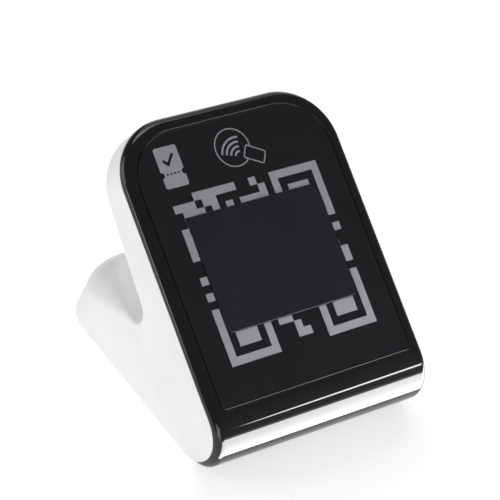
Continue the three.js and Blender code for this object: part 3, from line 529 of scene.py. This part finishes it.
# ---------- rear housing ----------
POCKET_HALF_WIDTH, POCKET_FLOOR, POCKET_LOW, POCKET_HIGH = 24.0, 66.0, 10.5, 25.0
SOCKET_X, SOCKET_Z, SOCKET_WIDTH, SOCKET_HEIGHT = -7.0, 18.5, 24.0, 11.0
BUTTON_X, BUTTON_Z, BUTTON_RADIUS = 15.0, 17.0, 3.0
PILLARS = [(-50.5, 10), (50.5, 10), (-46, 60), (46, 60)]
PILLAR_RADIUS, PILLAR_BORE, LIP_BORE = 3.6, 2.3, 1.3
POCKET_CORNER, SOCKET_CORNER = 2.0, 0.8
PILLAR_TOP = -20.0
RIB_LENGTH, RIB_HEIGHT = 8.0, 5.0  # rib behind the shell's lip
HOUSING_CELL, HOUSING_CELL_QUICK = 1.1, 2.0  # grid of the housing's surface
INNER_INSET = 0.5  # how far the tub, rib and pillars stay under the outer surface
HIDDEN_COARSER = 1.5  # how much coarser the grid is for what doesn't show
GRID_LOW, GRID_HIGH = (-61.0, FRONT_EXTENT - 7, BASE_Z - 10), (61.0, FOOT_REAR_Y + 3, 56.0)
FIELD_FRONT = 4.0  # how far the fields run past the part's front
OUTER_ENDS, ROOM_ENDS = (6, 5), (9, 8)  # how far they run past the face and the base, and are cut later
ABOVE_TOP = 97.0  # v of the cut's upper end
BASE_TOP = BASE_Z + 2.8
BACK_SLOPE = math.atan2(SIN + SLAB_TAPER * COS, COS - SLAB_TAPER * SIN)
BACK_Y, BACK_Z = to_body(0, SLAB_REAR)
APEX_Y = BACK_Y - (BACK_Z - FOOT_TOP) / math.tan(BACK_SLOPE)
FILLET_Y, FILLET_Z = APEX_Y + INNER_FILLET / math.tan(BACK_SLOPE / 2), FOOT_TOP + INNER_FILLET


def outline_distance(a, b, half_width, top, radius):
    """Distance to a band |a| < half_width that ends at b = top with round corners."""
    across = np.abs(a) - (half_width - radius)
    along = b - (top - radius)
    corner = np.hypot(np.maximum(across, 0), np.maximum(along, 0))
    return np.minimum(np.maximum(across, along), 0) + corner - radius


def housing_distance(points):
    """Signed distance, near the surface, to the housing's outer form, open in front and below."""
    x, y, z = points.T
    v, w = y * COS + z * SIN, z * COS - y * SIN
    height = z - BASE_Z
    behind = -(w - SLAB_REAR - SLAB_TAPER * v) / math.hypot(1, SLAB_TAPER)
    above = height - FOOT_HEIGHT
    qy, qz = y - FILLET_Y, z - FILLET_Z
    in_fillet = (qy < 0) & (qy * math.cos(BACK_SLOPE) + qz * math.sin(BACK_SLOPE) < 0)
    side_view = np.where(in_fillet, INNER_FILLET - np.hypot(qy, qz), np.minimum(behind, above))
    lean = height * FOOT_LEAN / (FOOT_REAR_Y - LEAN_START)
    upright = np.where(y > LEAN_START, (y - LEAN_START * lean) / (1 - lean), y)
    slab_side = (z - FOOT_TOP) * math.cos(BACK_SLOPE / 2) > (y - APEX_Y) * math.sin(BACK_SLOPE / 2)
    slab_plan = outline_distance(x, v, HALF_WIDTH, FACE_TOP, TOP_CORNER)
    foot_plan = outline_distance(x, upright, HALF_WIDTH, FOOT_REAR_Y, FOOT_CORNER)
    plan = np.where(slab_side, slab_plan, foot_plan)
    share = np.clip((upright - FOOT_EDGE_FROM) / (FOOT_EDGE_TO - FOOT_EDGE_FROM), 0, 1)
    growth = FOOT_EDGE_GROWTH * share * share * (3 - 2 * share)
    radius = SLAB_EDGE + np.where(slab_side, 0, growth)
    corner = np.hypot(np.maximum(plan + radius, 0), np.maximum(side_view + radius, 0))
    return np.minimum(np.maximum(plan, side_view), -radius) + corner


def housing_field(inset, front, below):
    """The outer form moved inwards by inset, closed by a plane w = front and one below the base."""

    def field(points):
        y, z = points[:, 1], points[:, 2]
        w = z * COS - y * SIN
        closed = np.maximum(housing_distance(points) + inset, w - front)
        return np.maximum(closed, np.maximum(BASE_Z - below - z, FRONT_EXTENT - FIELD_FRONT - y))

    return field


SLOPE_STEP = 0.02  # mm either way, when the field's slope is measured


def surface(name, field, low, high, cell):
    """Surface nets round field < 0, with the points then drawn onto the surface along the field's slope."""
    axes = [np.arange(a, b + cell, cell) for a, b in zip(low, high)]
    grid = np.stack(np.meshgrid(*axes, indexing="ij"), axis=-1)
    shape = grid.shape[:3]
    values = field(grid.reshape(-1, 3)).reshape(shape)
    inside = values < 0
    total = np.zeros(shape + (3,))
    count = np.zeros(shape)
    crossings = []
    for axis in range(3):
        here = tuple(slice(1, -1) for _ in range(3))
        there = tuple(slice(2, None) if d == axis else slice(1, -1) for d in range(3))
        start = np.argwhere(inside[here] != inside[there]) + 1
        end = start + np.eye(3, dtype=int)[axis]
        a, b = values[tuple(start.T)], values[tuple(end.T)]
        place = grid[tuple(start.T)] + (a / (a - b))[:, None] * cell * np.eye(3)[axis]
        one, two = (np.eye(3, dtype=int)[(axis + k) % 3] for k in (1, 2))
        corners = [start, start - one, start - one - two, start - two]
        for corner in corners:
            np.add.at(total, tuple(corner.T), place)
            np.add.at(count, tuple(corner.T), 1)
        crossings.append((corners, inside[tuple(start.T)]))
    used = count > 0
    number = np.full(shape, -1)
    number[used] = np.arange(used.sum())
    points = total[used] / count[used][:, None]
    faces = []
    for corners, starts_inside in crossings:
        quads = np.stack([number[tuple(corner.T)] for corner in corners], axis=1)
        quads[~starts_inside] = quads[~starts_inside][:, ::-1]
        faces.append(quads)
    for _ in range(4):
        value = field(points)
        rises = [field(points + SLOPE_STEP * e) - field(points - SLOPE_STEP * e) for e in np.eye(3)]
        slope = np.stack(rises, axis=1) / (2 * SLOPE_STEP)
        size = np.maximum((slope**2).sum(axis=1), 0.25)
        move = slope * (value / size)[:, None]
        length = np.maximum(np.linalg.norm(move, axis=1), 1e-9)
        points = points - move * np.minimum(1, 0.5 * cell / length)[:, None]
    return solid(name, points, np.concatenate(faces).tolist())


def pocket_outline():
    middle = BASE_Z + (POCKET_LOW + POCKET_HIGH) / 2
    half = (POCKET_HIGH - POCKET_LOW) / 2
    flat = rounded(POCKET_HALF_WIDTH, half, -half, POCKET_CORNER, POCKET_CORNER, 12)
    return [(a, b + middle) for a, b in flat]


def socket_outline():
    half = SOCKET_HEIGHT / 2 + GAP
    flat = rounded(SOCKET_WIDTH / 2 + GAP, half, -half, SOCKET_CORNER, SOCKET_CORNER, 8)
    return [(a + SOCKET_X, b + BASE_Z + SOCKET_Z) for a, b in flat]


def along_y(x, z, y):
    return x, y, z


def make_housing():
    cell = HOUSING_CELL
    coarse = HIDDEN_COARSER * cell
    outer = surface("rear_housing_shell", housing_field(0, *OUTER_ENDS), GRID_LOW, GRID_HIGH, cell)
    room = surface("room", housing_field(SIDE_WALL, *ROOM_ENDS), GRID_LOW, GRID_HIGH, coarse)
    nose = arc(NOSE_Y, NOSE_Z, SEAM_RADIUS, 90 + math.degrees(TILT), 90 + math.degrees(SWEEP_START), 20)
    side = [to_body(ABOVE_TOP, -SEAM), *nose[:-1], *sweep_arc(0), (OUTSIDE, BASE_Z), (OUTSIDE, OUTSIDE)]
    combine(outer, "INTERSECT", [side_prism(side, -OUTSIDE, OUTSIDE)])
    foot = surface("foot", housing_field(INNER_INSET, *OUTER_ENDS), GRID_LOW, GRID_HIGH, coarse)
    combine(outer, "DIFFERENCE", [room])
    wall = POCKET_FLOOR - WALL
    tub_side = POCKET_HALF_WIDTH + WALL
    heights = BASE_Z + POCKET_LOW - WALL, BASE_Z + POCKET_HIGH + WALL
    inner = box(-tub_side, tub_side, wall, OUTSIDE, *heights)
    reach = HALF_WIDTH - SIDE_WALL + 1
    rib = box(-reach, reach, LIP_END_Y - RIB_LENGTH, 0, BASE_Z + SEAM, BASE_Z + SEAM + RIB_HEIGHT)
    pillars = [rod(x, y, PILLAR_RADIUS, BASE_TOP + 0.1, PILLAR_TOP) for x, y in PILLARS]
    combine(inner, "UNION", [rib, *pillars])
    combine(inner, "INTERSECT", [foot])
    combine(outer, "UNION", [inner])
    holes = [push(pocket_outline(), along_y, POCKET_FLOOR, OUTSIDE)]
    holes.append(push(socket_outline(), along_y, wall - 1, POCKET_FLOOR + 1))
    holes.append(cross_rod(BUTTON_X, BASE_Z + BUTTON_Z, BUTTON_RADIUS + GAP, wall - 1, POCKET_FLOOR + 1))
    holes += [rod(x, y, PILLAR_BORE, BASE_TOP - 1, BASE_TOP + 8) for x, y in PILLARS]
    holes += [rod(x, LIP_SCREW_Y, LIP_BORE, BASE_Z, BASE_Z + 10) for x in LIP_SCREWS.values()]
    combine(outer, "DIFFERENCE", holes)
    finish_piece(outer, ["rear_housing"])


# ---------- prints on the glass ----------
PRINT_HEIGHT = 0.02
MODULES = 21
CODE_SIZE = 80.4
MODULE = CODE_SIZE / MODULES
FINDER = 7
FINDER_CORNERS = [(MODULES - FINDER, 0), (0, MODULES - FINDER), (MODULES - FINDER, MODULES - FINDER)]


def module_filled(col, row):
    """A made-up arrangement: three finder squares and a fixed scatter, which says nothing."""
    if not (0 <= col < MODULES and 0 <= row < MODULES):
        return False
    for first_col, first_row in FINDER_CORNERS:
        a, b = col - first_col, row - first_row
        if -1 <= a <= FINDER and -1 <= b <= FINDER:
            ring = max(abs(a - 3), abs(b - 3))
            return ring in (0, 1, 3)
    if col in (0, MODULES - 1):
        return (row + col) % 3 == 1 or row in (5, 6, 12)
    return (col * col * 5 + row * 7 + col * row * 3) % 11 < 5


def print_piece(name, points, faces):
    piece = mesh_object(name, body_points([(u, *to_body(v, w)) for u, v, w in points]), faces, PRINT)
    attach(piece, "validator")


def make_code_frame():
    """The code's modules round the window, as raised patches with walls at their free edges."""
    half = CODE_SIZE / 2
    side = WINDOW_WIDTH / 2 + GAP
    top, bottom = WINDOW_V + WINDOW_HEIGHT / 2 + GAP, WINDOW_V - WINDOW_HEIGHT / 2 - GAP
    us = sorted({-side, side, *[-half + MODULE * i for i in range(MODULES + 1)]})
    vs = sorted({bottom, top, *[half - MODULE * i for i in range(MODULES + 1)]}, reverse=True)

    def filled(i, j):
        if not (0 <= i < len(us) - 1 and 0 <= j < len(vs) - 1):
            return False
        u, v = (us[i] + us[i + 1]) / 2, (vs[j] + vs[j + 1]) / 2
        if abs(u) < side and bottom < v < top:
            return False
        return module_filled(int((u + half) // MODULE), int((half - v) // MODULE))

    points, faces = [], []

    def quad(corners):
        faces.append(tuple(range(len(points), len(points) + 4)))
        points.extend(corners)

    low, high = -PRINT_HEIGHT, PRINT_HEIGHT
    for i in range(len(us) - 1):
        for j in range(len(vs) - 1):
            if not filled(i, j):
                continue
            u0, u1, v0, v1 = us[i], us[i + 1], vs[j + 1], vs[j]
            quad([(u0, v0, high), (u1, v0, high), (u1, v1, high), (u0, v1, high)])
            walls = {(-1, 0): ((u0, v1), (u0, v0)), (1, 0): ((u1, v0), (u1, v1)),
                     (0, -1): ((u1, v1), (u0, v1)), (0, 1): ((u0, v0), (u1, v0))}
            for (di, dj), (a, b) in walls.items():
                if not filled(i + di, j + dj):
                    quad([(*a, low), (*b, low), (*b, high), (*a, high)])
    print_piece("print_code_frame", points, faces)


def stroke(line, width, closed=False):
    """Outlines of a band along a line of (u, v) points: one outline, or two if it is closed."""
    line = np.array(line, float)
    before, after = np.roll(line, 1, axis=0), np.roll(line, -1, axis=0)
    into, out = line - before, after - line
    if not closed:
        into[0], out[-1] = out[0], into[-1]
    into /= np.linalg.norm(into, axis=1)[:, None]
    out /= np.linalg.norm(out, axis=1)[:, None]
    mitre = into + out
    mitre /= np.linalg.norm(mitre, axis=1)[:, None]
    normal = np.stack([-mitre[:, 1], mitre[:, 0]], axis=1)
    reach = width / 2 / np.maximum((mitre * into).sum(axis=1), 0.5)
    left, right = (line + side * normal * reach[:, None] for side in (1, -1))
    if closed:
        return [left.tolist(), right.tolist()]
    return [left.tolist() + right[::-1].tolist()]


def make_print(name, patches):
    """Raised patches: each is an outline and the outlines of its holes."""
    points, faces = [], []
    for outlines in patches:
        first = len(points)
        top = [(u, v, PRINT_HEIGHT) for outline in outlines for u, v in outline]
        fill = tessellate_polygon([[Vector((u, v, 0)) for u, v in outline] for outline in outlines])
        faces += [tuple(i + first for i in face) for face in fill]
        points += top + [(u, v, -PRINT_HEIGHT) for u, v, _ in top]
        start = first
        for outline in outlines:
            count = len(outline)
            for j in range(count):
                a, b = start + j, start + (j + 1) % count
                faces.append((a, b, b + len(top), a + len(top)))
            start += count
    print_piece(name, points, faces)


def placed(outline, centre, degrees=0.0):
    c, s = math.cos(math.radians(degrees)), math.sin(math.radians(degrees))
    return [(centre[0] + a * c - b * s, centre[1] + a * s + b * c) for a, b in outline]


RING_CENTRE, RING_RADIUS, RING_ENDS = (0.3, 55.7), 9.1, (-7, 309)
WAVE_CENTRE, WAVE_RADII, WAVE_ENDS = (2.7, 50.9), (2.4, 4.7, 7.0, 9.3), (78, 164)
CARD_CENTRE, CARD_HALF_WIDTH, CARD_HALF_HEIGHT, CARD_CORNER = (10.3, 50.2), 5.2, 3.1, 0.9
CARD_TURN = -30
OUTLINE_WIDTH, WAVE_WIDTH, TICK_WIDTH = 0.55, 0.95, 1.4
TICKET_CENTRE, TICKET_HALF_WIDTH, TICKET_HALF_HEIGHT, TICKET_CORNER = (-33.8, 54.2), 6.1, 9.8, 1.3
NOTCH_RADIUS, TEAR_V = 1.5, -3.2
DASH_PLACES, DASH_HALF_WIDTH, DASH_HALF_HEIGHT, DASH_CORNER = (-3.0, -1.0, 1.0, 3.0), 0.6, 0.35, 0.1
TICK_LINE = [(-3.0, 3.4), (-0.9, 1.2), (3.0, 6.0)]


def make_contactless():
    """Waves in a ring, with a card held across its lower right."""
    patches = [stroke(arc(*RING_CENTRE, RING_RADIUS, *RING_ENDS, 90), OUTLINE_WIDTH)]
    for radius in WAVE_RADII:
        patches.append(stroke(arc(*WAVE_CENTRE, radius, *WAVE_ENDS, 24), WAVE_WIDTH))
    flat = rounded(CARD_HALF_WIDTH, CARD_HALF_HEIGHT, -CARD_HALF_HEIGHT, CARD_CORNER, CARD_CORNER, 8)
    patches.append(stroke(placed(flat, CARD_CENTRE, CARD_TURN), OUTLINE_WIDTH, closed=True))
    make_print("print_contactless", patches)


def make_ticket():
    """A plain ticket with notched sides, a tear line and a tick."""
    side, end = TICKET_HALF_WIDTH - TICKET_CORNER, TICKET_HALF_HEIGHT - TICKET_CORNER
    right = [
        *arc(side, end, TICKET_CORNER, 90, 0, 6),
        *arc(TICKET_HALF_WIDTH, TEAR_V, NOTCH_RADIUS, 90, 270, 12),
        *arc(side, -end, TICKET_CORNER, 0, -90, 6),
    ]
    outlines = [placed(mirrored(right), TICKET_CENTRE)]
    dash = rounded(DASH_HALF_WIDTH, DASH_HALF_HEIGHT, -DASH_HALF_HEIGHT, DASH_CORNER, DASH_CORNER, 2)
    for a in DASH_PLACES:
        outlines.append(placed(dash, (TICKET_CENTRE[0] + a, TICKET_CENTRE[1] + TEAR_V)))
    outlines.append(placed(stroke(TICK_LINE, TICK_WIDTH)[0], TICKET_CENTRE))
    make_print("print_ticket", [outlines])


# ---------- spring of the tamper switch ----------
COIL_X, COIL_Y = -27.0, 27.0
COIL_LOW, COIL_HIGH = BASE_Z + 4.5, BASE_Z + 7.0
COIL_RADIUS, COIL_TURNS, WIRE_RADIUS = 2.1, 3, 0.3
COIL_STEPS, COIL_SIDES = 30, 10  # mesh steps in a turn, and sides of the wire


def make_spring():
    steps = COIL_STEPS * COIL_TURNS
    points = []
    for i in range(steps + 1):
        turn = 2 * math.pi * COIL_TURNS * i / steps
        height = COIL_LOW + (COIL_HIGH - COIL_LOW) * i / steps
        for j in range(COIL_SIDES):
            side = 2 * math.pi * j / COIL_SIDES
            out = COIL_RADIUS + WIRE_RADIUS * math.cos(side)
            centre = (COIL_X + out * math.cos(turn), COIL_Y + out * math.sin(turn))
            points.append((*centre, height + WIRE_RADIUS * math.sin(side)))
    faces = loops_to_faces(COIL_SIDES, steps + 1)
    faces.append(tuple(range(COIL_SIDES)))
    faces.append(tuple(range(len(points) - COIL_SIDES, len(points))))
    spring = mesh_object("tamper_coil", body_points(points), faces, STEEL)
    finish_piece(spring, ["tamper_spring"])
    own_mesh(spring)


make_shell()
make_glass()
make_window()
make_housing()
make_spring()
make_code_frame()
make_contactless()
make_ticket()

# ---------- CAD nodes that stay ----------
FINISHES = {
    "gloss_black_shell": GLOSS,
    "printed_glass": GLASS,
    "window_pane": PANE,
    "white_housing": WHITE,
    "dark_plastic": DARK,
    "black_rubber": RUBBER,
    "black_tape": RUBBER,
    "circuit_board": BOARD,
    "ferrite": FERRITE,
    "bright_steel": STEEL,
    "brass": BRASS,
    "tin_plate": TIN,
    "clear_plastic": CLEAR,
    "led_package": LED,
    "amber_film": FILM,
}
SOFTENED = (
    "base_plate", "rubber_pad", "base_screw", "lip_screw", "io_", "service_button", "tamper_plunger",
)
SOFT_EDGE = 0.15


def finish_nodes():
    for part in frame["record"]["subparts"]:
        node = frame["nodes"][part["node"]]
        node.data.materials.clear()
        node.data.materials.append(FINISHES[part["material_slot"]])
        shade(node)
        if part["node"].startswith(SOFTENED):
            bevel = node.modifiers.new("soft_edges", "BEVEL")
            bevel.width = SOFT_EDGE * MM
            bevel.segments = 2
            bevel.limit_method = "ANGLE"
            bevel.angle_limit = SHARP_ANGLE
            bevel.harden_normals = True


finish_nodes()


# ---------- stage and light ----------
FLOOR_SIZE = 8
FLOOR_GLOW = 0.6
WORLD_COLOUR = (0.2, 0.2, 0.222, 1)
LIGHT_AIM = Vector((0, 0, 0.05))


def make_stage():
    bpy.ops.mesh.primitive_plane_add(size=FLOOR_SIZE)
    floor = bpy.context.object
    floor.name = "floor"
    material, nodes, links, bsdf = new_material("pale_floor")
    tone = noise(nodes, links, 3, 3)
    links.new(ramp(nodes, links, tone, [(0.3, 0.86), (0.7, 0.88)]), bsdf.inputs["Base Color"])
    bsdf.inputs["Roughness"].default_value = 0.7
    bsdf.inputs["Emission Color"].default_value = (1, 1, 1, 1)
    bsdf.inputs["Emission Strength"].default_value = FLOOR_GLOW
    floor.data.materials.append(material)


def lamp(name, place, facing, width, height, radiance, shape="RECTANGLE"):
    """An area light at a place in the row frame, with its width kept level."""
    light = bpy.data.lights.new(name, "AREA")
    light.shape = shape
    light.size, light.size_y = width, height
    light.energy = radiance * math.pi * width * height
    holder = bpy.data.objects.new(name, light)
    bpy.context.scene.collection.objects.link(holder)
    holder.location = place
    holder.rotation_euler = (-Vector(facing)).to_track_quat("Z", "Y").to_euler()
    return holder


def softbox(name, direction, distance, width, height, radiance, shape="RECTANGLE"):
    """A lamp that faces the part from a direction."""
    away = Vector(direction).normalized()
    return lamp(name, away * distance + LIGHT_AIM, -away, width, height, radiance, shape)


def make_world():
    world = bpy.data.worlds.new("studio")
    world.use_nodes = True
    world.node_tree.nodes["Background"].inputs["Color"].default_value = WORLD_COLOUR
    bpy.context.scene.world = world
    bpy.context.scene.view_settings.view_transform = "Standard"


make_stage()
make_world()
# Two lamps light reflections only, and the card in front of the nose doesn't show itself to the camera.
softbox("left_back", (-0.85, 0.5, 0.35), 1.5, 1.1, 0.9, 2.1)
softbox("left_front", (-0.62, -0.75, 0.22), 1.5, 1.0, 0.8, 2.6)
softbox("over_back_fill", (0.5, 0.62, 0.6), 1.6, 1.3, 1.6, 0.7)
softbox("over_back", (0.5, 0.62, 0.6), 1.6, 1.3, 2.9, 3.0).visible_diffuse = False
softbox("left_rim", (-0.96, 0.12, 0.05), 1.3, 0.12, 0.6, 5.0).visible_diffuse = False
softbox("brow", (0.555, -0.77, 0.243), 1.0, 0.31, 0.06, 15.0, "ELLIPSE")
lamp("low_card", (0.085, -0.1825, 0.002), (0, 0, 1), 0.29, 0.21, 14.0).visible_camera = False
